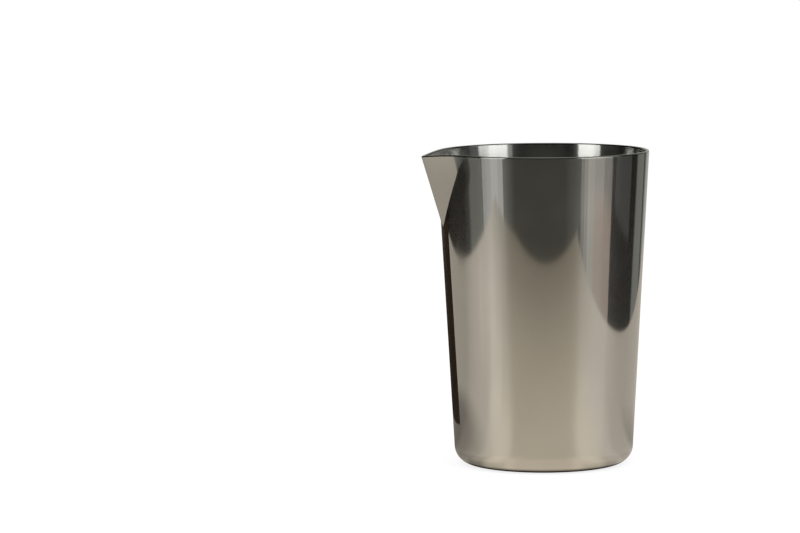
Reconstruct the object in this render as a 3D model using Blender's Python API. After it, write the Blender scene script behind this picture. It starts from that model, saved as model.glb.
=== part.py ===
"""Double-walled cocktail mixing cup with a pressed pouring beak.

Two drawn steel walls stand one inside the other and are welded together round the mouth. The
space between them is evacuated through a port in the bottom pan, and a base cover hides the port.
The cup stands on Z = 0 with its axis on Z, and the beak points along -X. Metres throughout.
"""

from math import acos, atan, cos, hypot, pi, radians, sin

import bmesh
import bpy
from mathutils import Vector

# Overall sizes of the cup, outside
CUP_HEIGHT = 0.140
RIM_DIAMETER = 0.0945
FOOT_DIAMETER = 0.0790
FOOT_CORNER_RADIUS = 0.0080

# Sheets, and the clearance left at every welded or pressed joint
OUTER_SHEET = 0.0006
INNER_SHEET = 0.0005
PAN_SHEET = 0.0006
COVER_SHEET = 0.0006
STRAP_SHEET = 0.0003
JOIN_GAP = 0.0003

# Space between the two walls: at the foot, and under the inner cup's floor
WALL_SPACE = 0.0050
FLOOR_SPACE = 0.0045
INNER_CORNER_RADIUS = 0.0090

# Pouring beak, a V pressed out of both walls below the rim
BEAK_REACH = 0.0082
BEAK_DEPTH = 0.0340
BEAK_DROOP = 0.0016
BEAK_SPREAD_POWER = 0.90
BEAK_DRAW_IN = 0.0003
BEAK_DRAW_ANGLE = radians(14)

# Foot: opening in the outer shell and the least flat land round it, pan, cover and evacuation port
FOOT_OPENING_DIAMETER = 0.0540
FOOT_LAND = 0.0010
PAN_HEIGHT = 0.0034
PAN_BEND_RADIUS = 0.0012
PAN_EDGE_LIFT = 0.0003
COVER_HEADROOM = 0.0006
COVER_BEND_RADIUS = 0.0010
PORT_DIAMETER = 0.0016
DIMPLE_DIAMETER = 0.0080
DIMPLE_DEPTH = 0.0010
SEAL_DOME = 0.0009

# Getter pellet and the strap over it
GETTER_DIAMETER = 0.0080
GETTER_THICKNESS = 0.0018
GETTER_OFFSET = 0.0150
STRAP_WIDTH = 0.0040
STRAP_FOOT_LENGTH = 0.0040

# Facets
COLUMNS = 64
ARC_STEPS = 6
BEND_STEPS = 3
SMALL_COLUMNS = 24
SHARP_ANGLE = radians(25)

# Sizes that follow from the ones above
RIM_RADIUS = RIM_DIAMETER / 2
FOOT_RADIUS = FOOT_DIAMETER / 2
FOOT_OPENING_RADIUS = FOOT_OPENING_DIAMETER / 2
OUTER_TAPER = (RIM_RADIUS - FOOT_RADIUS) / CUP_HEIGHT
FOOT_CORNER_ROOM = (FOOT_RADIUS - FOOT_OPENING_RADIUS - FOOT_LAND) / (hypot(1, OUTER_TAPER) - OUTER_TAPER)
FOOT_CORNER = min(FOOT_CORNER_RADIUS, FOOT_CORNER_ROOM)
RIM_WIDTH = OUTER_SHEET + JOIN_GAP + INNER_SHEET
BEAD_HEIGHT = RIM_WIDTH / 2
BEAD_BOTTOM = CUP_HEIGHT - BEAD_HEIGHT
WALL_TOP = BEAD_BOTTOM - JOIN_GAP
BEAK_FOOT = CUP_HEIGHT - BEAK_DEPTH
MOUTH_SPREAD = acos(RIM_RADIUS / (RIM_RADIUS + BEAK_REACH))
PAN_RADIUS = FOOT_OPENING_RADIUS - JOIN_GAP
PAN_BORE_RADIUS = PAN_RADIUS - PAN_SHEET
COVER_RADIUS = PAN_BORE_RADIUS - JOIN_GAP
COVER_SKIRT_HEIGHT = PAN_HEIGHT - PAN_SHEET - COVER_HEADROOM
INNER_FLOOR = PAN_HEIGHT + FLOOR_SPACE
DIMPLE_RADIUS = DIMPLE_DIAMETER / 2
COLUMN_STEP = 2 * pi / COLUMNS

STEEL_POLISHED = ((0.60, 0.60, 0.57), 0.16, 1.0)
STEEL_SATIN = ((0.55, 0.55, 0.53), 0.34, 1.0)
STEEL_PLAIN = ((0.50, 0.50, 0.48), 0.42, 1.0)
SEAL_GLASS = ((0.10, 0.11, 0.10), 0.20, 0.0)
GETTER_ALLOY = ((0.16, 0.16, 0.17), 0.65, 0.6)


def outer_radius(z):
    """Radius of the outer shell's polished face at height z: a plain taper."""
    return FOOT_RADIUS + OUTER_TAPER * z


def inner_radius(z):
    """Radius of the inner cup's hidden face: one joint gap behind the outer shell at the mouth,
    and WALL_SPACE behind it at the inner cup's floor."""
    sheet_across = OUTER_SHEET * hypot(1, OUTER_TAPER)
    down = (WALL_TOP - z) / (WALL_TOP - INNER_FLOOR)
    return outer_radius(z) - sheet_across - JOIN_GAP - (WALL_SPACE - JOIN_GAP) * down


INNER_TAPER = (inner_radius(WALL_TOP) - inner_radius(INNER_FLOOR)) / (WALL_TOP - INNER_FLOOR)


def beak_rise(z):
    """How far up the beak the height z lies: 0 at its foot, 1 at the rim."""
    return min(max((z - BEAK_FOOT) / BEAK_DEPTH, 0.0), 1.0)


def beak_spread(rise):
    """Angle from the beak's ridge to its crease. At the rim the beak's sides leave the round
    mouth along its tangents, so the crease runs out there."""
    return MOUTH_SPREAD * rise ** BEAK_SPREAD_POWER


def crease_share(rise, z):
    """Share of the round wall's radius at the crease. The press draws the wall in a little beside
    the beak, most at half the beak's depth, so that the beak's sides stay flat up to the crease."""
    return 1 - 4 * BEAK_DRAW_IN * rise * (1 - rise) / outer_radius(z)


def pressed(radius, z, angle):
    """Where the press moves a point of the round wall. The angle is counted from the beak.

    At every height the section is the round wall with two straight sides, which run from the
    creases at +-spread to the ridge. The ridge leans out evenly and the tip droops a little.
    Past the crease the drawn-in wall eases back to its round.
    """
    rise = beak_rise(z)
    spread = beak_spread(rise)
    crease = crease_share(rise, z)
    off = abs(angle)
    if off < spread:
        ridge = 1 + BEAK_REACH * rise / outer_radius(z)
        side = crease * sin(spread)
        radius *= ridge * side / (side * cos(off) + (ridge - crease * cos(spread)) * sin(off))
        z -= BEAK_DROOP * rise * (1 - off / spread) ** 2
    else:
        beyond = min((off - spread) / BEAK_DRAW_ANGLE, 1)
        ease = beyond * beyond * (3 - 2 * beyond)
        radius *= 1 - (1 - crease) * (1 - ease)
    return Vector((-radius * cos(angle), -radius * sin(angle), z))


def beak_heights():
    """Heights of the rows through the beak. Row n lies where the crease crosses column n, so the
    crease is a chain of diagonals from row to row."""
    heights = [BEAK_FOOT]
    top_spread = beak_spread(beak_rise(WALL_TOP))
    for column in range(1, int(top_spread / COLUMN_STEP) + 1):
        rise = (column * COLUMN_STEP / MOUTH_SPREAD) ** (1 / BEAK_SPREAD_POWER)
        heights.append(BEAK_FOOT + BEAK_DEPTH * rise)
    return heights


def arc(centre_radius, centre_z, radius, start, end, steps):
    """Points of an arc in the section plane, both ends included, angles from the +R direction."""
    turns = [start + (end - start) * step / steps for step in range(steps + 1)]
    return [(centre_radius + radius * cos(turn), centre_z + radius * sin(turn)) for turn in turns]


def corner(wall_foot_radius, taper, floor_z, radius, inset):
    """Rounded lower edge between a flat floor and a tapered wall, from the floor to the wall.

    The wall's radius is wall_foot_radius + taper * (z - floor_z). inset draws the arc that far
    inside, for the other face of the sheet.
    """
    centre = wall_foot_radius + taper * radius - radius * hypot(1, taper)
    return arc(centre, floor_z + radius, radius - inset, -pi / 2, -atan(taper), ARC_STEPS)


def steel(name, look):
    """Principled material from a (colour, roughness, metallic) triple."""
    colour, roughness, metallic = look
    material = bpy.data.materials.new(name)
    material.use_nodes = True
    shader = material.node_tree.nodes["Principled BSDF"]
    shader.inputs["Base Color"].default_value = (*colour, 1.0)
    shader.inputs["Roughness"].default_value = roughness
    shader.inputs["Metallic"].default_value = metallic
    return material


def add_object(name, bm, look):
    """Turn a bmesh into a named, smooth-shaded object with its own material."""
    bmesh.ops.recalc_face_normals(bm, faces=bm.faces)
    mesh = bpy.data.meshes.new(name)
    bm.to_mesh(mesh)
    bm.free()
    mesh.shade_smooth()
    mesh.set_sharp_from_angle(angle=SHARP_ANGLE)
    mesh.materials.append(steel(name, look))
    piece = bpy.data.objects.new(name, mesh)
    bpy.context.collection.objects.link(piece)
    return piece


def rings(bm, section, columns):
    """One ring of vertices for each section point, pressed to the beak's form where it has one."""
    angles = [2 * pi * column / columns for column in range(columns)]
    signed = [angle if angle <= pi else angle - 2 * pi for angle in angles]
    return [[bm.verts.new(pressed(r, z, angle)) for angle in signed] for r, z in section]


def skin(bm, loops, closed):
    """Faces between consecutive rings, and from the last ring to the first if closed."""
    followers = loops[1:] + loops[:1] if closed else loops[1:]
    for lower, upper in zip(loops, followers):
        for column in range(len(lower)):
            after = (column + 1) % len(lower)
            bm.faces.new((lower[column], lower[after], upper[after], upper[column]))


def fold_creases(bm, beak_loops):
    """Split the faces that the crease crosses, on both sides of the ridge."""
    for row in range(len(beak_loops) - 1):
        for side in (1, -1):
            start = beak_loops[row][side * row]
            end = beak_loops[row + 1][side * (row + 1)]
            bmesh.ops.connect_verts(bm, verts=[start, end])


def turned(name, section, columns, look):
    """Round piece from a closed section that stays clear of the axis."""
    bm = bmesh.new()
    skin(bm, rings(bm, section, columns), closed=True)
    return add_object(name, bm, look)


def turned_solid(name, section, columns, look):
    """Round piece from an open section, closed by a flat face at each end."""
    bm = bmesh.new()
    loops = rings(bm, section, columns)
    skin(bm, loops, closed=False)
    bm.faces.new(loops[0])
    bm.faces.new(loops[-1])
    return add_object(name, bm, look)


def outer_shell():
    """Polished outer wall: flat foot ring, rounded lower edge, taper and beak."""
    sheet_across = OUTER_SHEET * hypot(1, OUTER_TAPER)
    walls = beak_heights() + [WALL_TOP]
    outside = [(FOOT_OPENING_RADIUS, 0.0)]
    outside += corner(FOOT_RADIUS, OUTER_TAPER, 0.0, FOOT_CORNER, 0.0)
    outside += [(outer_radius(z), z) for z in walls]
    inside = [(FOOT_OPENING_RADIUS, OUTER_SHEET)]
    inside += corner(FOOT_RADIUS, OUTER_TAPER, 0.0, FOOT_CORNER, OUTER_SHEET)
    inside += [(outer_radius(z) - sheet_across, z) for z in walls]
    bm = bmesh.new()
    out_loops = rings(bm, outside, COLUMNS)
    in_loops = rings(bm, inside, COLUMNS)
    skin(bm, out_loops + in_loops[::-1], closed=True)
    for loops in (out_loops, in_loops):
        fold_creases(bm, loops[-len(walls):-1])
    return add_object("outer_shell", bm, STEEL_POLISHED)


def inner_cup():
    """Satin liner with a flat floor, and the same beak drawn one joint gap behind the shell."""
    sheet_across = INNER_SHEET * hypot(1, INNER_TAPER)
    walls = beak_heights() + [WALL_TOP]
    foot_radius = inner_radius(INNER_FLOOR)
    outside = corner(foot_radius, INNER_TAPER, INNER_FLOOR, INNER_CORNER_RADIUS, 0.0)
    outside += [(inner_radius(z), z) for z in walls]
    inside = corner(foot_radius, INNER_TAPER, INNER_FLOOR, INNER_CORNER_RADIUS, INNER_SHEET)
    inside += [(inner_radius(z) - sheet_across, z) for z in walls]
    bm = bmesh.new()
    out_loops = rings(bm, outside, COLUMNS)
    in_loops = rings(bm, inside, COLUMNS)
    skin(bm, out_loops + in_loops[::-1], closed=False)
    bm.faces.new(out_loops[0])
    bm.faces.new(in_loops[0])
    for loops in (out_loops, in_loops):
        fold_creases(bm, loops[-len(walls):-1])
    return add_object("inner_cup", bm, STEEL_SATIN)


def rim_bead():
    """Half-round weld bead over the edges of both walls, along the mouth and the beak."""
    outer_edge = outer_radius(BEAD_BOTTOM)
    centre = outer_edge - RIM_WIDTH / 2
    section = arc(centre, BEAD_BOTTOM, RIM_WIDTH / 2, 0, pi, ARC_STEPS)
    return turned("rim_bead", section, COLUMNS, STEEL_POLISHED)


def bottom_pan():
    """Pan with a downturned flange that closes the foot, and the evacuation dimple and port."""
    top = PAN_HEIGHT
    under = PAN_HEIGHT - PAN_SHEET
    bend = PAN_BEND_RADIUS
    inner_bend = bend - PAN_SHEET
    outside = [(PAN_RADIUS, PAN_EDGE_LIFT)]
    outside += arc(PAN_RADIUS - bend, top - bend, bend, 0, pi / 2, BEND_STEPS)
    outside += [(DIMPLE_RADIUS + DIMPLE_DEPTH, top), (DIMPLE_RADIUS, top + DIMPLE_DEPTH)]
    outside += [(PORT_DIAMETER / 2, top + DIMPLE_DEPTH)]
    inside = [(PAN_BORE_RADIUS, PAN_EDGE_LIFT)]
    inside += arc(PAN_RADIUS - bend, top - bend, inner_bend, 0, pi / 2, BEND_STEPS)
    inside += [(DIMPLE_RADIUS, under), (DIMPLE_RADIUS - DIMPLE_DEPTH, under + DIMPLE_DEPTH)]
    inside += [(PORT_DIAMETER / 2, under + DIMPLE_DEPTH)]
    return turned("bottom_pan", outside + inside[::-1], COLUMNS, STEEL_PLAIN)


def port_seal():
    """Button of sealing glass that fills the pan's dimple and bulges a little below it."""
    mouth = PAN_HEIGHT - PAN_SHEET
    top = mouth + DIMPLE_DEPTH - JOIN_GAP
    small = DIMPLE_RADIUS - DIMPLE_DEPTH - JOIN_GAP
    wide = DIMPLE_RADIUS - 2 * JOIN_GAP
    turns = [pi / 2 * step / BEND_STEPS for step in range(BEND_STEPS)]
    section = [(small, top)]
    section += [(wide * cos(turn), mouth - SEAL_DOME * sin(turn)) for turn in turns]
    return turned_solid("port_seal", section, SMALL_COLUMNS, SEAL_GLASS)


def base_cover():
    """Pressed disc with an upturned skirt that grips inside the pan's flange. The cup stands on it."""
    bend = COVER_BEND_RADIUS
    centre = COVER_RADIUS - bend
    outside = arc(centre, bend, bend, -pi / 2, 0, BEND_STEPS)
    outside += [(COVER_RADIUS, COVER_SKIRT_HEIGHT)]
    inside = arc(centre, bend, bend - COVER_SHEET, -pi / 2, 0, BEND_STEPS)
    inside += [(COVER_RADIUS - COVER_SHEET, COVER_SKIRT_HEIGHT)]
    return turned_solid("base_cover", outside + inside[::-1], COLUMNS, STEEL_PLAIN)


def getter():
    """Pressed pellet that lies on the pan, beside the port."""
    radius = GETTER_DIAMETER / 2
    low = PAN_HEIGHT + JOIN_GAP
    section = [(radius, low), (radius, low + GETTER_THICKNESS)]
    piece = turned_solid("getter", section, SMALL_COLUMNS, GETTER_ALLOY)
    piece.location = (GETTER_OFFSET, 0, 0)
    return piece


def getter_strap():
    """Hat-shaped strap over the pellet, with a flat foot spot-welded to the pan at each end."""
    foot_z = PAN_HEIGHT + JOIN_GAP
    bridge_z = foot_z + GETTER_THICKNESS + JOIN_GAP
    leg = GETTER_DIAMETER / 2 + 2 * JOIN_GAP + STRAP_SHEET
    end = leg + STRAP_FOOT_LENGTH
    half = [(leg, bridge_z), (leg, foot_z), (end, foot_z)]
    line = [(-y, z) for y, z in half[::-1]] + half
    bm = bmesh.new()
    rows = [[bm.verts.new((side * STRAP_WIDTH / 2, y, z)) for y, z in line] for side in (-1, 1)]
    for left, right in zip(range(len(line) - 1), range(1, len(line))):
        bm.faces.new((rows[0][left], rows[1][left], rows[1][right], rows[0][right]))
    piece = add_object("getter_strap", bm, STEEL_PLAIN)
    gauge = piece.modifiers.new("sheet", "SOLIDIFY")
    gauge.thickness = STRAP_SHEET
    gauge.offset = 1.0
    gauge.use_even_offset = True
    piece.location = (GETTER_OFFSET, 0, 0)
    return piece


def main():
    for old in list(bpy.data.objects):
        bpy.data.objects.remove(old)
    axis = bpy.data.objects.new("cup_axis", None)
    bpy.context.collection.objects.link(axis)
    builders = (outer_shell, inner_cup, rim_bead, bottom_pan, port_seal, base_cover, getter, getter_strap)
    for build in builders:
        piece = build()
        piece.parent = axis
        print(piece.name, len(piece.data.polygons), "faces")


main()
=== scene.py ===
# %% [markdown]
# # A steel mixing cup with a pouring beak
#
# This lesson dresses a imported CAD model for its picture. The CAD model is the frame: it says where
# every piece is and how large, and nothing here changes that. The big visible pieces are made again as
# smooth surfaces, because a mirror shows every facet, and each piece gets a finish of its own.

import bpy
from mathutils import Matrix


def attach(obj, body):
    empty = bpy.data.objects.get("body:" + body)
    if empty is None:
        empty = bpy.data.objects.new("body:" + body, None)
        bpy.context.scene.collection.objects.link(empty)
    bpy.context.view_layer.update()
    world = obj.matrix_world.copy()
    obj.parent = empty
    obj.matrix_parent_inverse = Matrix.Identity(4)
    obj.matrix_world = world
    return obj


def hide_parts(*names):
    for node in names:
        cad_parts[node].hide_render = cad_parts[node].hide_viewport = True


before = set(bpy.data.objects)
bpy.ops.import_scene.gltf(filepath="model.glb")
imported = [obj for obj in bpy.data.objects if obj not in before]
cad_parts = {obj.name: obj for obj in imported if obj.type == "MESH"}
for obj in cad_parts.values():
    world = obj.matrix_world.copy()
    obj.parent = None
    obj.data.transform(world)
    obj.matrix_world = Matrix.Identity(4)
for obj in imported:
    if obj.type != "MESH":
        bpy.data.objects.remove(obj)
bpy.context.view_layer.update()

# %% [markdown]
# ## Driving dimensions
#
# The sizes below are those of the CAD model, in metres. Height and rim could be measured on the frame,
# but a named size is easier to read, so the cell states them.

import bpy
import numpy as np
from mathutils import Matrix

CUP_HEIGHT = 0.140
RIM_RADIUS = 0.04725
FOOT_RADIUS = 0.0395
FOOT_CORNER = 0.0080
FOOT_OPENING = 0.0270
OUTER_SHEET = 0.0006
INNER_SHEET = 0.0005
JOIN_GAP = 0.0003
WALL_SPACE = 0.0050
INNER_FLOOR = 0.0079
INNER_CORNER = 0.0090
BEAK_REACH = 0.0082
BEAK_DEPTH = 0.0340
BEAK_DROOP = 0.0016
BEAK_SPREAD_POWER = 0.90
BEAK_DRAW_IN = 0.0003
BEAK_DRAW_ANGLE = np.radians(14)

RIM_WIDTH = OUTER_SHEET + JOIN_GAP + INNER_SHEET
BEAD_BOTTOM = CUP_HEIGHT - RIM_WIDTH / 2
WALL_TOP = BEAD_BOTTOM - JOIN_GAP
BEAK_FOOT = CUP_HEIGHT - BEAK_DEPTH
MOUTH_SPREAD = np.arccos(RIM_RADIUS / (RIM_RADIUS + BEAK_REACH))
OUTER_TAPER = (RIM_RADIUS - FOOT_RADIUS) / CUP_HEIGHT
INNER_TAPER = OUTER_TAPER + (WALL_SPACE - JOIN_GAP) / (WALL_TOP - INNER_FLOOR)

# %% [markdown]
# ## The pressed beak
#
# The cup is a turned shape, except for one corner that a press pushed out to make a beak. It could be
# modelled by pulling vertices about, but then the two walls and the rim would not agree. Instead one
# function says where the press moves any point of the round cup, and every piece passes through it. At
# each height the section is a circle with two straight sides, which leave it at the creases and meet at
# the ridge.

# %% Tapers of the two walls
def outer_radius(z):
    """Outside of the outer wall: a straight taper from the foot to the rim."""
    return FOOT_RADIUS + OUTER_TAPER * z


def inner_radius(z):
    """Hidden side of the inner wall: one joint gap behind the outer sheet at the top, leaning in below."""
    top = outer_radius(WALL_TOP) - OUTER_SHEET * np.hypot(1, OUTER_TAPER) - JOIN_GAP
    return top - INNER_TAPER * (WALL_TOP - z)


halfway = CUP_HEIGHT / 2
space = outer_radius(halfway) - inner_radius(halfway)
print("from the outside to the inner wall, halfway up:", round(1000 * space, 2), "mm")


# %% Outline of the beak
def beak_rise(z):
    """How far up the beak a height is: 0 at the beak's foot, 1 at the rim."""
    return np.clip((z - BEAK_FOOT) / BEAK_DEPTH, 0, 1)


def beak_spread(z):
    """Angle from ridge to crease: the mouth's spread times the rise to a power a little under one."""
    return MOUTH_SPREAD * beak_rise(z) ** BEAK_SPREAD_POWER


print("beak opens to", round(2 * np.degrees(beak_spread(CUP_HEIGHT)), 1), "degrees at the rim")

# %% The press
RIDGE_ROUND = 0.0100
RIDGE_SHARE = 0.15
LEAST_SPREAD = 1e-6


def smooth(share):
    """Smooth step of a share, held between 0 and 1: three times its square less twice its cube."""
    share = np.clip(share, 0, 1)
    return share**2 * (3 - 2 * share)


def press(radius, z, angle):
    """Points of the cup from polar arrays, the angle counted from the beak, which points along -X.

    Between the creases the radius is that of the straight line from crease to ridge, in polar form:
    radius * k * c * sin(s) / (c * sin(s) * cos(a) + (k - c * cos(s)) * sin(a)), with the spread s and
    the shares k of the ridge and c of the crease. The press draws the crease in a little, most at half
    the beak's depth, and past it a smooth step eases the wall back to its round. The angle a is rounded
    off near zero, which rounds the ridge, and the tip droops a little.
    """
    rise = beak_rise(z)
    spread = np.maximum(beak_spread(z), LEAST_SPREAD)
    soft = np.minimum(RIDGE_ROUND, RIDGE_SHARE * spread)
    turn = np.minimum(np.hypot(angle, soft), spread)
    ridge = 1 + BEAK_REACH * rise / outer_radius(z)
    crease = 1 - 4 * BEAK_DRAW_IN * rise * (1 - rise) / outer_radius(z)
    width = crease * np.sin(spread)
    side = ridge * width / (width * np.cos(turn) + (ridge - crease * np.cos(spread)) * np.sin(turn))
    wall = crease + (1 - crease) * smooth((np.abs(angle) - spread) / BEAK_DRAW_ANGLE)
    pressed = np.abs(angle) < spread
    far = radius * np.where(pressed, side, wall)
    drop = np.where(pressed, BEAK_DROOP * rise * (1 - turn / spread) ** 2, 0)
    return np.stack([-far * np.cos(angle), -far * np.sin(angle), z - drop], axis=-1)


print("the tip is at", np.round(1000 * press(RIM_RADIUS, CUP_HEIGHT, 0.0), 2), "mm")

# %% [markdown]
# ## Grids
#
# A surface is a grid of points: rows go along the section, columns go round the axis. Even columns
# would cut across the crease in small steps, and a mirror shows them. So the columns are drawn together
# until one of them runs exactly along the crease at every height, and they ease apart again below the
# beak.

# %% Columns that follow the crease
HALF_COLUMNS = 190
CREASE_COLUMN = 0.34
NARROWEST = 0.05
EASE_HEIGHT = 0.07
EVEN_SHARE = 0.4


def column_angles(z):
    """Angles of all columns for rows at the heights z, as a table of rows by columns.

    Up to the crease the angle is the spread times a blend of a straight line and a square, past it a
    parabola that keeps the slope and reaches half a turn. Below the beak the spread eases to an even share.
    """
    ease = smooth((BEAK_FOOT - z) / EASE_HEIGHT)
    spread = np.maximum(beak_spread(z), NARROWEST)
    spread = (spread + (CREASE_COLUMN * np.pi - spread) * ease)[:, None]
    part = np.linspace(0, 1, HALF_COLUMNS + 1)[None, :]
    inside = np.minimum(part / CREASE_COLUMN, 1)
    beyond = np.maximum(part - CREASE_COLUMN, 0)
    slope = (2 - EVEN_SHARE) * spread / CREASE_COLUMN
    room = 1 - CREASE_COLUMN
    bend = (np.pi - spread - slope * room) / room**2
    near = spread * (EVEN_SHARE * inside + (1 - EVEN_SHARE) * inside**2)
    half = near + slope * beyond + bend * beyond**2
    return np.concatenate([half, -half[:, -2:0:-1]], axis=1)


widths = np.degrees(np.diff(column_angles(np.array([CUP_HEIGHT, BEAK_FOOT, 0.0]))[:, : HALF_COLUMNS + 1]))
print("column widths, degrees:", np.round(widths.min(axis=1), 3), "to", np.round(widths.max(axis=1), 2))

# %% [markdown]
# ## Sections
#
# A turned piece is a section carried round the axis. Here a section is a list of rows, each with a
# radius and a height, put together from flats, tapered walls and arcs. A sheet's section goes out along
# one side and comes back along the other, so its thickness is part of the shape.

# %% Runs of a section
def level(radii, height):
    """Rows along a flat: the radii, all at one height."""
    return np.column_stack([radii, np.full_like(radii, height)])


def line(radius, heights):
    """Rows along a wall, from a radius function and an array of heights."""
    return np.column_stack([radius(heights), heights])


def arc(centre, height, radius, start, end, steps):
    """Rows along an arc: the centre plus the radius times cosine and sine, angles from the outward axis."""
    turn = np.linspace(start, end, steps + 1)
    return np.column_stack([centre + radius * np.cos(turn), height + radius * np.sin(turn)])


def corner(foot_radius, taper, floor, radius, inset, steps):
    """Rounded lower edge: an arc that touches the flat floor and the tapered wall, drawn in by the inset."""
    centre = foot_radius + taper * radius - radius * np.hypot(1, taper)
    return arc(centre, floor + radius, radius - inset, -np.pi / 2, -np.arctan(taper), steps)


def there_and_back(there, back):
    """Rows of a whole section: along the first runs, then along the others from their end to their start."""
    return np.concatenate(there + [np.concatenate(back)[::-1]])


def turned(section):
    """Grid of points from a section of (radius, height) rows, carried round the axis and pressed."""
    radius, z = section.T
    return press(radius[:, None], z[:, None], column_angles(z))


print("a wall's row has", turned(level(np.array([RIM_RADIUS]), CUP_HEIGHT)).shape[1], "points")

# %% [markdown]
# ## A map that follows the lines
#
# Polishing lines run round the cup. When the finishes are baked into pictures for other programs, the
# direction of the lines is read from the mesh's UV map, and Blender's own unwrapping would lay the wall
# down in patches at odd angles. So the grid itself is the map: across is the way round, and up is the
# way along the section.

# %% Flat map of a grid
MAP_NAME = "OFBake"
LEAST_ROW = 0.0004
CAP_ROOM = 0.02
CAP_SHARE = 0.4
CAP_PLACES = (0.25, 0.75)


def flat_map(points, closed):
    """Places on the map of the corners of a grid's faces, and of the two end faces of an open grid.

    Across is the column's share of the turn. Up is the share of the section's length, measured opposite the
    beak, where no row counts as shorter than the least. The end faces are two small discs above the grid.
    """
    path = points[:, HALF_COLUMNS]
    path = np.concatenate([path, path[:1]]) if closed else path
    lengths = np.maximum(np.linalg.norm(np.diff(path, axis=0), axis=1), LEAST_ROW)
    up = np.concatenate([[0], np.cumsum(lengths)]) / lengths.sum()
    across = np.linspace(0, 1, points.shape[1] + 1)
    net = np.stack(np.meshgrid(across, up if closed else up * (1 - CAP_ROOM)), axis=-1)
    places = np.stack([net[:-1, :-1], net[:-1, 1:], net[1:, 1:], net[1:, :-1]], axis=2).reshape(-1, 2)
    if closed:
        return places
    turn = 2 * np.pi * across[:-1]
    disc = CAP_SHARE * CAP_ROOM * np.column_stack([np.cos(turn), np.sin(turn)])
    first, last = [np.array([place, 1 - CAP_ROOM / 2]) for place in CAP_PLACES]
    return np.concatenate([places, first + disc[::-1], last + disc])


print("the map is named", MAP_NAME)

# %% [markdown]
# ## From grid to mesh
#
# Each face joins a point to its neighbour on the right and to the two below. Round the axis the last
# column meets the first. Along the section the last row meets the first too, or else the section starts
# and ends near the axis, and a flat face closes each end. Blender can fill such holes by itself, but
# then it chooses the faces.

# %% Faces and pieces
SHARP = np.radians(35)


def quads(rows, columns, closed):
    """Corners of a grid's faces: each point, its right neighbour, the one below that, and the one below."""
    number = np.arange(rows * columns).reshape(rows, columns)
    right = np.roll(number, -1, axis=1)
    faces = np.stack([number, right, np.roll(right, -1, axis=0), np.roll(number, -1, axis=0)], axis=-1)
    return (faces if closed else faces[:-1]).reshape(-1, 4)


def add_object(name, data):
    """An object that shows a mesh, a lamp or a camera, put into the scene."""
    thing = bpy.data.objects.new(name, data)
    bpy.context.scene.collection.objects.link(thing)
    return thing


def add_piece(name, points, closed=True):
    """A smooth mesh object from a grid of points, with a flat face over each end if the grid is open."""
    rows, columns = points.shape[:2]
    faces = quads(rows, columns, closed).tolist()
    if not closed:
        first = np.arange(columns)
        faces += [first[::-1].tolist(), (first + (rows - 1) * columns).tolist()]
    mesh = bpy.data.meshes.new(name)
    mesh.from_pydata(points.reshape(-1, 3).tolist(), [], faces)
    mesh.update()
    places = flat_map(points, closed).astype(np.float32)
    mesh.uv_layers.new(name=MAP_NAME).uv.foreach_set("vector", places.ravel())
    mesh.shade_smooth()
    mesh.set_sharp_from_angle(angle=SHARP)
    return add_object(name, mesh)


print("a ring of two rows and four columns has", len(quads(2, 4, False)), "faces")


# %% Measure a piece
def report(piece):
    """Prints a piece's triangles and volume, which is a sixth of the sum of the triangles' determinants.

    The volume of a closed mesh is positive if its faces point out.
    """
    mesh = piece.data
    mesh.calc_loop_triangles()
    points = np.empty(3 * len(mesh.vertices))
    mesh.vertices.foreach_get("co", points)
    corners = np.empty(3 * len(mesh.loop_triangles), dtype=np.int64)
    mesh.loop_triangles.foreach_get("vertices", corners)
    volume = np.linalg.det(points.reshape(-1, 3)[corners.reshape(-1, 3)]).sum() / 6
    print(piece.name, len(corners) // 3, "triangles,", round(1e9 * volume), "mm3")


for node in ("outer_shell", "inner_cup", "rim_bead"):
    report(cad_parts[node])

# %% [markdown]
# ## The outer wall
#
# The real one is a drawn sheet of stainless steel, tapered, with a round lower edge that turns in to a
# flat foot ring. A Solidify modifier could give it its thickness, but it would move the creases, so the
# section goes up the outside and down the hidden side and closes at both ends.

# %% Rows of the walls
SEEN_START = 0.010
HIDDEN_START = 0.012
LOW_ROWS = 40
SEEN_BEAK_ROWS = 76
HIDDEN_BEAK_ROWS = 20


def wall_heights(start, beak_rows):
    """Heights of a wall's rows: evenly spaced up to the beak's foot, and again from there to the rim."""
    low = np.linspace(start, BEAK_FOOT, LOW_ROWS)[:-1]
    return np.concatenate([low, np.linspace(BEAK_FOOT, BEAD_BOTTOM, beak_rows)])


seen_heights = wall_heights(SEEN_START, SEEN_BEAK_ROWS)
hidden_heights = wall_heights(HIDDEN_START, HIDDEN_BEAK_ROWS)
print("rows up a wall:", len(seen_heights), "where it is seen,", len(hidden_heights), "where it is hidden")

# %% Outer wall
FOOT_CHAMFER = 0.0001
FOOT_FLAT_END = 0.0316
FOOT_RINGS = 4
SEEN_CORNER_STEPS = 22
HIDDEN_CORNER_STEPS = 6


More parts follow.
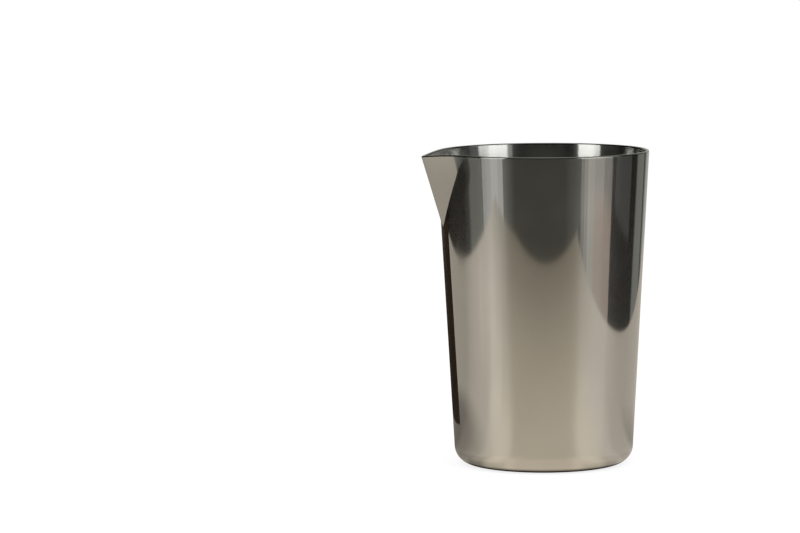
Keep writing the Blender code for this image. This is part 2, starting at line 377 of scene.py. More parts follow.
def outer_wall_section():
    """Rows up the outside, over chamfer, flat foot ring, corner and taper, and down the hidden side.

    The sheet is measured square to the wall, so along the radius it is the sheet times the root of one plus
    the square of the taper.
    """
    across = OUTER_SHEET * np.hypot(1, OUTER_TAPER)
    ring = np.linspace(FOOT_OPENING + FOOT_CHAMFER, FOOT_FLAT_END, FOOT_RINGS)
    outside = [[(FOOT_OPENING, FOOT_CHAMFER)], level(ring, 0)]
    outside += [corner(FOOT_RADIUS, OUTER_TAPER, 0, FOOT_CORNER, 0, SEEN_CORNER_STEPS)]
    outside += [line(outer_radius, seen_heights)]
    hidden = [[(FOOT_OPENING, OUTER_SHEET)]]
    hidden += [corner(FOOT_RADIUS, OUTER_TAPER, 0, FOOT_CORNER, OUTER_SHEET, HIDDEN_CORNER_STEPS)]
    hidden += [line(lambda z: outer_radius(z) - across, hidden_heights)]
    return there_and_back(outside, hidden)


outer_wall = add_piece("outer_wall", turned(outer_wall_section()))
report(outer_wall)

# %% [markdown]
# ## The inner cup
#
# A second, deeper drawn cup hangs inside the first. Its floor is a plain disc, so its section starts
# near the axis on the hidden side, goes out and up, and comes back down inside. Two flat faces close it
# at the axis. Its corner reaches higher than that of the outer wall, so it leaves out the walls' lowest
# rows.

# %% Inner cup
AXIS_HOLE = 0.0004
FLOOR_END = 0.0240
FLOOR_RINGS = 10
HIDDEN_RING_STRIDE = 3
SEEN_ROWS_LEFT_OUT = 4
HIDDEN_ROWS_LEFT_OUT = 2


def inner_cup_section():
    """Rows from the axis along the hidden side to the rim, and back down the inside, one sheet further in."""
    across = INNER_SHEET * np.hypot(1, INNER_TAPER)
    foot = inner_radius(INNER_FLOOR)
    rings = np.linspace(AXIS_HOLE, FLOOR_END, FLOOR_RINGS)
    hidden = [level(rings[::HIDDEN_RING_STRIDE], INNER_FLOOR)]
    hidden += [corner(foot, INNER_TAPER, INNER_FLOOR, INNER_CORNER, 0, HIDDEN_CORNER_STEPS)]
    hidden += [line(inner_radius, hidden_heights[HIDDEN_ROWS_LEFT_OUT:])]
    inside = [level(rings, INNER_FLOOR + INNER_SHEET)]
    inside += [corner(foot, INNER_TAPER, INNER_FLOOR, INNER_CORNER, INNER_SHEET, SEEN_CORNER_STEPS)]
    inside += [line(lambda z: inner_radius(z) - across, seen_heights[SEEN_ROWS_LEFT_OUT:])]
    return there_and_back(hidden, inside)


inner_cup = add_piece("inner_wall", turned(inner_cup_section()), closed=False)
report(inner_cup)

# %% [markdown]
# ## The rim
#
# Both sheets end side by side at the mouth. A weld joins them and is ground to a round bead, which is
# the thin bright line along the rim. A curve with a round bevel would do on a plain ring, but the bead
# has to follow the beak, so it is a half-round section passed through the same press.

# %% Rim bead
RIM_STEPS = 18


def rim_section():
    """Rows over the bead: a half circle as wide as the rim, closed by its flat underside."""
    centre = outer_radius(BEAD_BOTTOM) - RIM_WIDTH / 2
    return arc(centre, BEAD_BOTTOM, RIM_WIDTH / 2, 0, np.pi, RIM_STEPS)


rim = add_piece("rim", turned(rim_section()))
report(rim)

# %% [markdown]
# ## The base
#
# Under the cup a pan closes the foot's opening, and a pressed disc hides the pan's port. Both are
# turned from their sections with as many columns as the walls, so that their edges are round when the
# cup is tipped over.

# %% Pan
PAN_HEIGHT = 0.0034
PAN_SHEET = 0.0006
PAN_BEND = 0.0012
PAN_BEND_STEPS = 8
PAN_EDGE_LIFT = 0.0003
PAN_RADIUS = FOOT_OPENING - JOIN_GAP
PAN_BORE = PAN_RADIUS - PAN_SHEET
PORT_RADIUS = 0.0008
DIMPLE_RADIUS = 0.0040
DIMPLE_DEPTH = 0.0010


def pan_side(rim_radius, bend, dimple, height):
    """Rows along one side of the pan: edge, quarter-round bend, flat, and the raised dimple to the port."""
    run = arc(PAN_RADIUS - PAN_BEND, PAN_HEIGHT - PAN_BEND, bend, 0, np.pi / 2, PAN_BEND_STEPS)
    raised = height + DIMPLE_DEPTH
    slope = [(dimple, height), (dimple - DIMPLE_DEPTH, raised), (PORT_RADIUS, raised)]
    return [[(rim_radius, PAN_EDGE_LIFT)], run, slope]


def pan_section():
    """Rows over the pan's upper side from its edge to the port, and back along the side one sheet below."""
    upper = pan_side(PAN_RADIUS, PAN_BEND, DIMPLE_RADIUS + DIMPLE_DEPTH, PAN_HEIGHT)
    lower = pan_side(PAN_BORE, PAN_BEND - PAN_SHEET, DIMPLE_RADIUS, PAN_HEIGHT - PAN_SHEET)
    return there_and_back(upper, lower)


pan = add_piece("pan", turned(pan_section()))
report(pan)

# %% Base cover
COVER_SHEET = 0.0006
COVER_BEND = 0.0010
COVER_HEADROOM = 0.0006
COVER_RADIUS = PAN_BORE - JOIN_GAP
COVER_RINGS = 12
HIDDEN_COVER_STRIDE = 5
COVER_BEND_STEPS = 10
HIDDEN_BEND_STEPS = 4


def cover_section():
    """Rows along the cover's underside, round its bend, up and over its skirt, and back one sheet above."""
    centre = COVER_RADIUS - COVER_BEND
    top = PAN_HEIGHT - PAN_SHEET - COVER_HEADROOM
    rings = np.linspace(AXIS_HOLE, centre, COVER_RINGS)[:-1]
    under = [level(rings, 0), arc(centre, COVER_BEND, COVER_BEND, -np.pi / 2, 0, COVER_BEND_STEPS)]
    skirt = [[(COVER_RADIUS, top), (COVER_RADIUS - COVER_SHEET, top)]]
    above = [level(rings[::HIDDEN_COVER_STRIDE], COVER_SHEET)]
    above += [arc(centre, COVER_BEND, COVER_BEND - COVER_SHEET, -np.pi / 2, 0, HIDDEN_BEND_STEPS)]
    return there_and_back(under + skirt, above)


cover = add_piece("base_disc", turned(cover_section()), closed=False)
report(cover)

# %% [markdown]
# ## Writing shaders as sums
#
# A finish is arithmetic on patterns: some lines, a little of this noise, one minus that mask. Wiring
# Math nodes by hand hides the arithmetic, so a small class wraps a socket and turns Python's operators
# into Math nodes. Every other node is made by one function, and a few short ones give the nodes that
# are used often a plain name.

# %% Pattern arithmetic
class Pattern:
    """One output socket of a node tree. Operators on it add a Math node and give its result."""

    def __init__(self, tree, socket):
        self.tree = tree
        self.socket = socket

    def math(self, operation, first, second):
        """Math node of two values or patterns, in the order given."""
        return add_node(self.tree, "ShaderNodeMath", {"operation": operation}, {0: first, 1: second})

    def __add__(self, other):
        return self.math("ADD", self, other)

    __radd__ = __add__

    def __sub__(self, other):
        return self.math("SUBTRACT", self, other)

    def __rsub__(self, other):
        return self.math("SUBTRACT", other, self)

    def __mul__(self, other):
        return self.math("MULTIPLY", self, other)

    __rmul__ = __mul__

    def __truediv__(self, other):
        return self.math("DIVIDE", self, other)

    def __rtruediv__(self, other):
        return self.math("DIVIDE", other, self)


print("patterns take + - * and /, with a number on either side")


# %% Nodes
def fill(tree, node, sockets):
    """Gives a node's sockets their values, and links those that get a pattern."""
    for name, value in sockets.items():
        if isinstance(value, Pattern):
            tree.links.new(value.socket, node.inputs[name])
        else:
            node.inputs[name].default_value = value


def add_node(tree, kind, settings=None, sockets=None, output=0):
    """A node of a kind with its settings, then its sockets' values or links. Gives one of its outputs."""
    node = tree.nodes.new(kind)
    for name, value in (settings or {}).items():
        setattr(node, name, value)
    fill(tree, node, sockets or {})
    return Pattern(tree, node.outputs[output])


def new_finish(name):
    """A material and its node tree, emptied but for its output."""
    material = bpy.data.materials.new(name)
    material.use_nodes = True
    tree = material.node_tree
    tree.nodes.remove(tree.nodes["Principled BSDF"])
    return material, tree


def wear(tree, surface):
    """Makes a shader the surface of its tree."""
    fill(tree, tree.nodes["Material Output"], {"Surface": surface})


print("ready:", add_node.__name__, new_finish.__name__, wear.__name__)

# %% Patterns, colours and shaders by name
SINGLE_VALUES = ("LENGTH", "DISTANCE", "DOT_PRODUCT")


def vector(operation, first, *others):
    """Vector Math node of a pattern and other vectors. A length, distance or reach comes out as a value."""
    output = "Value" if operation in SINGLE_VALUES else "Vector"
    sockets = dict(enumerate((first, *others)))
    return add_node(first.tree, "ShaderNodeVectorMath", {"operation": operation}, sockets, output)


def own_place(tree):
    """Each point's place in the piece's own coordinates, in metres."""
    return add_node(tree, "ShaderNodeTexCoord", output="Object")


def step(value, low, high):
    """Smooth step of a pattern from 0 at low to 1 at high. It falls if low is the higher one."""
    sockets = {"Value": value, "From Min": low, "From Max": high}
    return add_node(value.tree, "ShaderNodeMapRange", {"interpolation_type": "SMOOTHSTEP"}, sockets)


def noise(tree, cells, detail, roughness=0.5, seed=0.0):
    """Noise over the piece's own coordinates, with so many cells to a metre along each axis."""
    spread = vector("MULTIPLY_ADD", own_place(tree), cells, (seed, seed, seed))
    sockets = {"Vector": spread, "Scale": 1.0, "Detail": detail, "Roughness": roughness}
    return add_node(tree, "ShaderNodeTexNoise", {"noise_dimensions": "3D"}, sockets)


def blend(share, first, second):
    """Mix of two colours by a pattern."""
    sockets = {"Factor": share, "A": (*first, 1), "B": (*second, 1)}
    return add_node(share.tree, "ShaderNodeMix", {"data_type": "RGBA"}, sockets, "Result")


def mixed(share, first, second):
    """Mix of two shaders by a pattern."""
    return add_node(share.tree, "ShaderNodeMixShader", None, {0: share, 1: first, 2: second})


def bump(height, distance):
    """Normal from a height pattern of 0 to 1 that stands the distance high."""
    sockets = {"Strength": 1.0, "Distance": distance, "Height": height}
    return add_node(height.tree, "ShaderNodeBump", None, sockets)


print("ready:", vector.__name__, step.__name__, noise.__name__, blend.__name__, bump.__name__)

# %% [markdown]
# ## Finishes of the steel
#
# Polishing wheels run round the cup and leave lines that can be felt but hardly seen. Most of the
# surface is close to a mirror, and the lines scatter light across themselves. So a reflection keeps
# sharp sides and is drawn out upwards and downwards. Here fine lines of high roughness lie on a smooth
# ground, and an anisotropic lobe stands across the lines. The inside and the base differ in how many
# lines there are and how rough.

# %% Steel with polishing lines
STEEL_LIGHT = np.array([0.640, 0.640, 0.610])
STEEL_DARK = np.array([0.560, 0.558, 0.530])
NOISE_MIDDLE = 0.5
PATCH_CELLS = (38, 38, 30)
WAVE_CELLS = (26, 26, 14)
SMUDGE = (0.52, 0.74)
SMUDGE_DULLS = 0.02
SMUDGE_SCATTERS = 0.04
ACROSS_THE_LINES = 0.25


def steel_lobe(colour, rate, normal, anisotropy):
    """Principled shader of bare metal. Its lobe is turned a quarter, so it is longest across the lines."""
    sockets = {"Base Color": colour, "Metallic": 1.0, "Roughness": rate, "Normal": normal}
    sockets |= {"Anisotropic": anisotropy, "Anisotropic Rotation": ACROSS_THE_LINES}
    return add_node(colour.tree, "ShaderNodeBsdfPrincipled", None, sockets)


def lined_steel(name, smooth_rate, rough_rate, share, depth, line_cells, wave, anisotropy, shade_tone=1.0):
    """Steel with lines: a mirror-like ground, and a share of scratches that scatter the light across them.

    The line pattern is noise drawn out along two axes, and shifts the share by its depth. Smudges dull
    the ground a little. The waves are a slow bump, as sheet that was drawn and polished has. A darkening
    below one dims the colour all over, a painted shade.
    """
    material, tree = new_finish(name)
    lines = noise(tree, line_cells, detail=0.0)
    patches = noise(tree, PATCH_CELLS, detail=3.0, roughness=0.55, seed=4.0)
    smudge = step(patches, *SMUDGE)
    colour = blend(patches, shade_tone * STEEL_DARK, shade_tone * STEEL_LIGHT)
    slow = bump(noise(tree, WAVE_CELLS, detail=1.0, roughness=0.4, seed=2.0), wave)
    ground = steel_lobe(colour, smooth_rate + SMUDGE_DULLS * smudge, slow, anisotropy)
    scatter = steel_lobe(colour, rough_rate, slow, anisotropy)
    scratched = share + depth * (lines - NOISE_MIDDLE) + SMUDGE_SCATTERS * smudge
    wear(tree, mixed(scratched, ground, scatter))
    return material


print("bare steel reflects", STEEL_DARK, "to", STEEL_LIGHT)

# %% Outside, inside and rim
polished = lined_steel(
    "polished_steel", smooth_rate=0.03, rough_rate=0.34, share=0.18, depth=0.03,
    line_cells=(22, 22, 1500), wave=0.00005, anisotropy=1.0,
)
satin = lined_steel(
    "satin_steel", smooth_rate=0.14, rough_rate=0.36, share=0.32, depth=0.06,
    line_cells=(20, 20, 1500), wave=0.00006, anisotropy=1.0,
)
# The rim's steel is painted darker, a painted shade that dims its reflections to a dark line.
bead = lined_steel(
    "rim_steel", smooth_rate=0.06, rough_rate=0.30, share=0.07, depth=0.04,
    line_cells=(60, 60, 5000), wave=0.00002, anisotropy=0.6, shade_tone=0.55,
)
print("steel finishes:", polished.name, satin.name, bead.name)

# %% [markdown]
# ## Finish of the base, and of what is hidden
#
# The base disc was faced on a lathe, so its lines are rings. The distance from the axis drives them.
# Inside the vacuum space nobody looks, but the pieces are there and get their true stuff: sealing
# glass, a grey sintered pellet and a plain rolled strap.

# %% Turned steel
RING_PITCH = 0.00035
RING_HEIGHT = 0.000012
RING_EDGE = (0.35, 0.65)
RING_TINTS = 0.7
SCUFF_CELLS = (90, 90, 90)
SCUFF_EDGE = (0.56, 0.72)
SCUFF_DULLS = 0.08
SCUFF_TINTS = 0.3


def ringed_steel(name, smooth_rate, rough_rate):
    """Steel with turning rings: noise of the radius alone, so that the lines close on themselves."""
    material, tree = new_finish(name)
    radius = vector("LENGTH", vector("MULTIPLY", own_place(tree), (1, 1, 0)))
    sockets = {"W": radius / RING_PITCH, "Scale": 1.0, "Detail": 3.0, "Roughness": 0.65}
    rings = add_node(tree, "ShaderNodeTexNoise", {"noise_dimensions": "1D"}, sockets)
    scuffs = step(noise(tree, SCUFF_CELLS, detail=4.0, roughness=0.6, seed=3.0), *SCUFF_EDGE)
    rate = smooth_rate + (rough_rate - smooth_rate) * step(rings, *RING_EDGE) + SCUFF_DULLS * scuffs
    colour = blend(RING_TINTS * rings + SCUFF_TINTS * scuffs, STEEL_DARK, STEEL_LIGHT)
    sockets = {"Base Color": colour, "Roughness": rate, "Metallic": 1.0, "Normal": bump(rings, RING_HEIGHT)}
    wear(tree, add_node(tree, "ShaderNodeBsdfPrincipled", None, sockets))
    return material


turned_base = ringed_steel("turned_steel", smooth_rate=0.22, rough_rate=0.40)
pan_steel = lined_steel(
    "pan_steel", smooth_rate=0.26, rough_rate=0.50, share=0.40, depth=0.40,
    line_cells=(600, 600, 600), wave=0.00003, anisotropy=0.0,
)
print("base finishes:", turned_base.name, pan_steel.name)


# %% Glass, pellet and strap
def mottled(name, dark, light, smooth_rate, rough_rate, grain, height, metallic):
    """Plain stuff with grain: one noise drives its colour, roughness and a small bump."""
    material, tree = new_finish(name)
    grains = noise(tree, (grain, grain, grain), detail=4.0, roughness=0.6)
    rate = smooth_rate + (rough_rate - smooth_rate) * grains
    sockets = {"Base Color": blend(grains, dark, light), "Roughness": rate}
    sockets |= {"Normal": bump(grains, height), "Metallic": metallic}
    wear(tree, add_node(tree, "ShaderNodeBsdfPrincipled", None, sockets))
    return material


sealing_glass = mottled(
    "sealing_glass", dark=(0.03, 0.04, 0.035), light=(0.08, 0.09, 0.08),
    smooth_rate=0.08, rough_rate=0.20, grain=700, height=0.00002, metallic=0.0,
)
getter_grey = mottled(
    "getter_alloy", dark=(0.10, 0.10, 0.11), light=(0.24, 0.23, 0.23),
    smooth_rate=0.55, rough_rate=0.80, grain=2600, height=0.00005, metallic=0.6,
)
strap_steel = mottled(
    "strap_steel", dark=(0.42, 0.41, 0.39), light=(0.56, 0.55, 0.53),
    smooth_rate=0.30, rough_rate=0.45, grain=900, height=0.00001, metallic=1.0,
)
print("hidden finishes:", sealing_glass.name, getter_grey.name, strap_steel.name)

# %% [markdown]
# ## Putting the pieces on the frame
#
# Nothing on the cup moves, so every piece rides on the one body. A new piece hides the CAD node that it
# stands for, which stays in the simulation. The three hidden nodes keep their CAD shape and only get a
# finish.

# %% Ride, replace and finish
visible = [
    (outer_wall, "outer_shell", "polished_steel", polished),
    (inner_cup, "inner_cup", "satin_steel", satin),
    (rim, "rim_bead", "rim_steel", bead),
    (pan, "bottom_pan", "pan_steel", pan_steel),
    (cover, "base_cover", "base_steel", turned_base),
]
for piece, node, slot, finish in visible:
    piece.data.materials.append(finish)
    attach(piece, "root")
    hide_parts(node)

for node, finish in (("port_seal", sealing_glass), ("getter", getter_grey), ("getter_strap", strap_steel)):
    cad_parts[node].material_slots[0].material = finish
print(len(visible), "pieces ride on root")

# %% [markdown]
# ## The camera
#
# A long lens from a good way off, a little above the rim. Its place is given round the cup's axis, so
# that the lamps can be placed from it. The beak is turned a little towards it.

# %% Camera
CAMERA_AZIMUTH = np.radians(257.68)
CAMERA_DISTANCE = 1.6992
CAMERA_HEIGHT = 0.2601
CAMERA_PAN = 0.0376
CAMERA_TILT = 0.1008
CAMERA_ROLL = -0.0067
SENSOR_WIDTH = 36.0
FOCAL_PIXELS = 3825.86
PICTURE_WIDTH = 800


def round_the_cup(azimuth, distance, height):
    """Point at an angle from the camera's side, to the picture's right, at a distance and a height."""
    turn = CAMERA_AZIMUTH + np.radians(azimuth)
    return distance * np.cos(turn), distance * np.sin(turn), height


lens = bpy.data.cameras.new("camera")
lens.sensor_width = SENSOR_WIDTH
lens.lens = FOCAL_PIXELS * SENSOR_WIDTH / PICTURE_WIDTH
camera = add_object("camera", lens)
# A camera that isn't turned about Z looks along +Y, as one at an azimuth of 270 degrees should.
heading = CAMERA_AZIMUTH - 1.5 * np.pi + CAMERA_PAN
stand = Matrix.Translation(round_the_cup(0, CAMERA_DISTANCE, CAMERA_HEIGHT))
aim = Matrix.Rotation(heading, 4, "Z") @ Matrix.Rotation(np.pi / 2 - CAMERA_TILT, 4, "X")
camera.matrix_world = stand @ aim @ Matrix.Rotation(CAMERA_ROLL, 4, "Z")
bpy.context.scene.camera = camera
print("lens", round(lens.lens, 1), "mm at", [round(v, 3) for v in camera.location])

# %% [markdown]
# ## Floor
#
# Steel is as light or dark as what stands round it, so the floor matters more than the lamps. It is a
# plain pale top of limited size, and past its edges the room is dark. That edge is what the polished
# wall shows as the change from light to dark half way up. The camera itself sees the floor as white
# with the cup's soft shadow. To metal the top glows with painted light: a pool that falls off, painted
# glints, a painted shadow of the cup, and painted shade near the flag and under the foot. From below it
# is clear, so that the base can be looked at.

# %% Places on the floor, and beams of light
FLOOR_DROP = 0.0002


def on_floor(right, front):
    """Point of the floor, counted from the cup to the picture's right and towards the camera."""
    ahead = np.array([np.cos(CAMERA_AZIMUTH), np.sin(CAMERA_AZIMUTH)])
    across = np.array([-ahead[1], ahead[0]])
    return (*(right * across + front * ahead), -FLOOR_DROP)


def beam(heading, azimuth, full, end):
    """Sector with soft sides round an azimuth: 1 up to the half width where it is full, 0 from where it ends.

    It is a smooth step of the cosine of the angle between the heading and the azimuth.
    """
    reach = vector("DOT_PRODUCT", heading, round_the_cup(azimuth, 1, 0))
    return step(reach, np.cos(np.radians(end)), np.cos(np.radians(full)))


print("a step to the right on the floor is", np.round(on_floor(1, 0), 3))

# %% Painted light on the floor
# Painted falls of the pool of light: towards the camera, and behind the cup.
POOL_FALL = 0.70
POOL_EDGE = (0.0, 0.60)
BACK_FALL = 0.20
BACK_EDGE = (-0.10, 0.06)
# Painted shadow of the cup on the floor, behind it.
SHADOW_FALL = 0.35
SHADOW_START = (0.02, 0.05)
SHADOW_END = (0.20, 0.07)
# Painted shade near the flag, which casts no shadow itself.
FLAG_SHADE_PLACE = (-0.090, -0.075)
FLAG_SHADE_LEAST = 0.5
FLAG_SHADE_EDGE = (0.06, 0.13)
# Painted contact shadow: the floor is painted dark under the foot.
CONTACT_SHADE_EDGE = (0.0345, 0.0376)

# Painted glints, and painted shade where the gain is negative.
# Azimuth, half widths where it is full and where it ends, gain, and the radii where it is full and ends.
PAINTED_GLINTS = (
    (-49, 8, 20, 0.20, 0.06, 0.26),
    (54, 13, 28, 0.16, 0.06, 0.26),
    (-36, 8, 18, 0.15, 0.050, 0.075),
    (36, 8, 18, 0.15, 0.050, 0.075),
    (-75, 20, 32, -0.32, 0.045, 0.060),
    (75, 20, 32, -0.15, 0.045, 0.060),
    (-66, 8, 14, 0.15, 0.45, 0.20),
    (-55, 3, 10, 0.15, 0.20, 0.10),
    (-50, 8, 24, -0.45, 0.0370, 0.0450),
    (48, 8, 24, -0.35, 0.0365, 0.0430),
    (0, 22, 34, 0.14, 0.040, 0.075),
    (-114, 8, 22, -0.12, 0.25, 0.08),
)


def painted_floor_light(tree):
    """Light painted on the floor for metal: one less its falls, times glints, shadow, flag and contact.

    All of it is painted into the floor's glow. It falls smoothly towards the camera and behind the cup,
    is dimmed by a painted shadow of the cup and a painted shade near the flag, and is painted dark under
    the foot. A glint is a painted patch of the light that the wall throws back to the floor, or that
    falls on it near a lamp. Where its gain is negative, it is painted shade.
    """
    place = own_place(tree)
    radius = vector("LENGTH", place)
    heading = vector("NORMALIZE", place)
    front = vector("DOT_PRODUCT", place, round_the_cup(0, 1, 0))
    back = vector("DOT_PRODUCT", place, round_the_cup(180, 1, 0))
    fall = POOL_FALL * step(front, *POOL_EDGE) + BACK_FALL * step(back, *BACK_EDGE)
    gain = 1
    for azimuth, full, end, more, most_at, none_at in PAINTED_GLINTS:
        gain = gain + more * beam(heading, azimuth, full, end) * step(radius, none_at, most_at)
    shadow = 1 - SHADOW_FALL * step(back, *SHADOW_START) * step(radius, *SHADOW_END)
    from_flag = vector("DISTANCE", place, on_floor(*FLAG_SHADE_PLACE))
    flag_shade = FLAG_SHADE_LEAST + (1 - FLAG_SHADE_LEAST) * step(from_flag, *FLAG_SHADE_EDGE)
    return (1 - fall) * gain * shadow * flag_shade * step(radius, *CONTACT_SHADE_EDGE)


print(len(PAINTED_GLINTS), "glints on the floor")

# %% Finish of the floor
FRONT_GLOW = (0.690, 0.603, 0.483)
SIDE_GLOW = (0.695, 0.625, 0.545)
FRONT_SECTOR = (0.3, 0.9)
GROUND_GLOW = 0.80
GROUND_GREY = (0.30, 0.30, 0.30, 1)
WHITE = (1, 1, 1)
HOLE_RADIUS = 0.0318
HOLE_EDGE = 0.0001


def floor_finish():
    """Pale top: white with a soft shadow to the camera, a painted pool of light to metal, clear from behind.

    The painted pool glows a little warmer in front of the cup than at its sides. Under the base the top
    has a hole, so that the base shows what is below it.
    """
    material, tree = new_finish("pale_top")
    place = own_place(tree)
    front = vector("DOT_PRODUCT", vector("NORMALIZE", place), round_the_cup(0, 1, 0))
    glow = blend(step(front, *FRONT_SECTOR), SIDE_GLOW, FRONT_GLOW)
    # The floor glows for metal with painted light: the pool, its glints and its painted shadows.
    pool = add_node(tree, "ShaderNodeEmission", None, {"Color": glow, "Strength": painted_floor_light(tree)})
    lit = add_node(tree, "ShaderNodeEmission", None, {"Color": (*WHITE, 1), "Strength": GROUND_GLOW})
    shaded = add_node(tree, "ShaderNodeBsdfDiffuse", None, {"Color": GROUND_GREY})
    ground = add_node(tree, "ShaderNodeAddShader", None, {0: lit, 1: shaded})
    clear = add_node(tree, "ShaderNodeBsdfTransparent")
    outside = step(vector("LENGTH", place), HOLE_RADIUS - HOLE_EDGE, HOLE_RADIUS + HOLE_EDGE)
    camera_ray = add_node(tree, "ShaderNodeLightPath", output="Is Camera Ray")
    behind = add_node(tree, "ShaderNodeNewGeometry", output="Backfacing")
    seen = mixed(camera_ray, mixed(outside, clear, pool), ground)
    wear(tree, mixed(behind, seen, clear))
    return material


top_finish = floor_finish()
print("the finish", top_finish.name, "has", len(top_finish.node_tree.nodes), "nodes")

# %% Floor
TOP_OUTLINE = ((-0.572, 0.43), (-0.27, 0.495), (0.352, 0.466), (0.352, -0.90), (-0.602, -0.90))


def add_card(name, corners, finish):
    """A flat face through the corners, with its finish, that belongs to the stage and not to the cup."""
    mesh = bpy.data.meshes.new(name)
    mesh.from_pydata(corners, [], [range(len(corners))])
    mesh.materials.append(finish)
    card = add_object(name, mesh)
    return card


pale_top = add_card("pale_top", [on_floor(*place) for place in TOP_OUTLINE], top_finish)
print("floor faces", "up" if pale_top.data.polygons[0].normal.z > 0 else "down")

# %% [markdown]
# ## A dark flag
#
# A shiny edge vanishes against a white ground. Photographers stand a dark card just outside the
# picture, and its reflection draws the edge. This one stands left of the cup and is seen by reflections
# only.

# %% Flag
FLAG_NEAR = (-0.112, -0.055)
FLAG_FAR = (-0.047, -0.190)
FLAG_HEIGHT = 0.100

flag_brown = mottled(
    "flag_brown", dark=(0.030, 0.017, 0.007), light=(0.050, 0.029, 0.012),
    smooth_rate=0.8, rough_rate=0.95, grain=60, height=0.0001, metallic=0.0,
)
foot_line = np.array([on_floor(*FLAG_NEAR), on_floor(*FLAG_FAR)])
head_line = foot_line + (0, 0, FLAG_HEIGHT)
flag = add_card("flag", [*foot_line.tolist(), *head_line[::-1].tolist()], flag_brown)
flag.visible_camera = False
flag.visible_shadow = False
flag.visible_diffuse = False
print("flag is", round(1000 * float(np.linalg.norm(foot_line[1] - foot_line[0]))), "mm long")

# %% [markdown]
# ## Lamps and room
#
# Two tall soft boxes stand left and right of the camera, each with a dimmer wing beside it. Their
# reflections are the light bands down the wall and the bright bands inside the mouth. Below the level
# of the floor they go on as dim parts, warm on the right, which the wall shows past the floor's edges.
# The room is dark, with a white sheet behind the cup and a few fainter pale bands. The world node tells
# the rays apart: the camera sees white all over, metal sees the sheet, the bands and the dark room, and
# the floor gets an even light.

# %% Soft boxes
BOX_DISTANCE = 1.30
WARM = (1.0, 0.94, 0.85)
WARMER = (1.0, 0.77, 0.64)

# Name, azimuth, width in degrees, lowest and highest point, brightness and tint.
BOXES = (
    ("left_box", -52.5, 21, 0.02, 1.10, 2.25, WHITE),
    ("left_wing", -66.5, 7, 0.02, 1.10, 1.90, WHITE),
    ("left_low_wing", -63.5, 11, -0.50, 0.02, 0.32, WHITE),
    ("left_low", -54, 8, -0.50, 0.02, 0.40, WHITE),
    ("left_low_end", -47, 6, -0.50, 0.02, 0.32, WHITE),
    ("right_box", 54, 24, 0.02, 1.10, 2.20, WHITE),
    ("right_wing", 73, 14, 0.02, 1.10, 1.60, WHITE),
    ("right_start", 39, 6, 0.02, 1.10, 0.40, WHITE),
    ("right_high", 87.5, 15, 0.35, 1.10, 0.60, WHITE),
    ("right_far", 99, 26, -0.10, 0.60, 0.06, WHITE),
    ("right_low_start", 44, 4, -0.50, 0.02, 0.12, WARM),
    ("right_low_rise", 48, 4, -0.50, 0.02, 0.22, WARM),
    ("right_low", 54, 8, -0.50, 0.02, 0.36, WARM),
    ("right_low_side", 64, 12, -0.10, 0.02, 0.30, WARM),
    ("right_low_end", 75.5, 11, -0.10, 0.02, 0.16, WARM),
    ("right_warm_side", 64, 12, -0.50, -0.10, 0.37, WARMER),
    ("right_warm_end", 75.5, 11, -0.50, -0.10, 0.34, WARMER),
)


def soft_box(name, azimuth, spread, low, high, brightness, tint):
    """Rectangular lamp that faces the cup. Its power is pi times area times the brightness wanted."""
    lamp = bpy.data.lights.new(name, "AREA")
    lamp.shape = "RECTANGLE"
    lamp.color = tint
    lamp.size = 2 * BOX_DISTANCE * np.tan(np.radians(spread / 2))
    lamp.size_y = high - low
    lamp.energy = np.pi * lamp.size * lamp.size_y * brightness
    box = add_object(name, lamp)
    stand = Matrix.Translation(round_the_cup(azimuth, BOX_DISTANCE, (low + high) / 2))
    turn = CAMERA_AZIMUTH + np.radians(azimuth) + np.pi / 2
    box.matrix_world = stand @ Matrix.Rotation(turn, 4, "Z") @ Matrix.Rotation(np.pi / 2, 4, "X")
    box.visible_camera = False
    return box


boxes = [soft_box(*values) for values in BOXES]
facing = -(boxes[0].matrix_world.to_3x3().col[2])
print(len(boxes), "boxes, the first shines along", [round(v, 2) for v in facing])

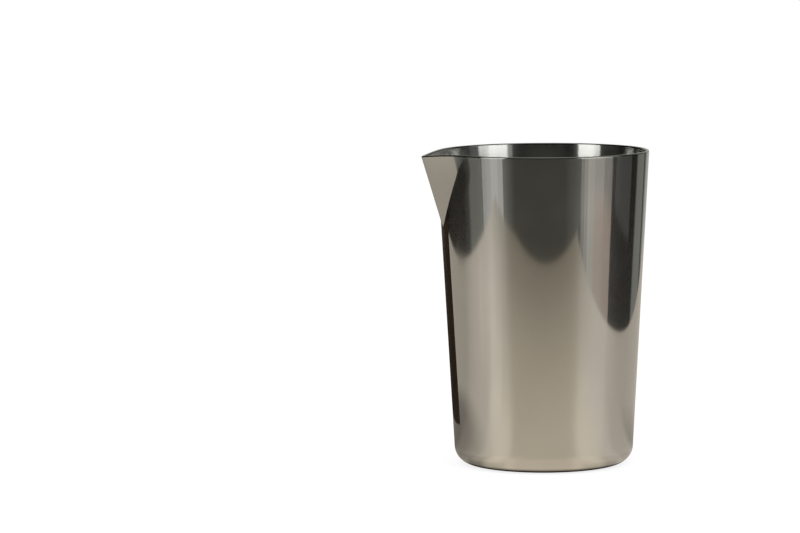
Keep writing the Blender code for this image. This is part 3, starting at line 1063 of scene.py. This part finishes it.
# %% Light of the room
ROOM_DARK = 0.008
CEILING = 0.20
CEILING_EDGE = (0.70, 0.92)
BELOW = 0.45
BELOW_EDGE = (-0.32, -0.55)
BAND_FADE = 0.1

# Azimuth, half widths where it is full and where it ends, brightness, and the sine of its top's elevation.
PALE_BANDS = (
    (180, 20, 34, 0.45, 1.0),
    (-80, 7, 12, 0.13, 0.0),
    (40, 3, 16, 0.035, 1.0),
    (-50, 7, 20, 0.08, 0.0),
    (-84, 8, 16, 0.03, 1.0),
    (136, 7, 12, 0.20, 1.0),
    (0, 25, 50, 0.036, 0.0),
    (-93, 3, 8, 0.26, -0.275),
)


def room_light(tree):
    """Brightness that metal sees in the room: a dark level, ceiling, light from below and upright bands."""
    toward = add_node(tree, "ShaderNodeTexCoord", output="Generated")
    heading = vector("NORMALIZE", vector("MULTIPLY", toward, (1, 1, 0)))
    height = vector("DOT_PRODUCT", toward, (0, 0, 1))
    light = ROOM_DARK + CEILING * step(height, *CEILING_EDGE) + BELOW * step(height, *BELOW_EDGE)
    for azimuth, full, end, brightness, top in PALE_BANDS:
        light = light + brightness * beam(heading, azimuth, full, end) * step(height, top + BAND_FADE, top)
    return light


print(len(PALE_BANDS), "pale bands in the room")

# %% World
ROOM_TINT = (0.98, 1.00, 0.93)
FLOOR_LIGHT = 0.80


def light_room(world):
    """Gives the world white to the camera, its room to metal and glass, and an even light to the floor."""
    world.use_nodes = True
    tree = world.node_tree
    kinds = ("Camera", "Glossy", "Transmission", "Diffuse")
    rays = [add_node(tree, "ShaderNodeLightPath", output=f"Is {kind} Ray") for kind in kinds]
    camera_ray, glossy_ray, through_ray, soft_ray = rays
    strength = camera_ray + (glossy_ray + through_ray) * room_light(tree) + FLOOR_LIGHT * soft_ray
    colour = blend(glossy_ray, WHITE, ROOM_TINT)
    fill(tree, tree.nodes["Background"], {"Color": colour, "Strength": strength})


bpy.context.scene.world = bpy.data.worlds.new("room")
light_room(bpy.context.scene.world)
bpy.context.scene.view_settings.view_transform = "Standard"
print("the world", bpy.context.scene.world.name, "lights the scene")
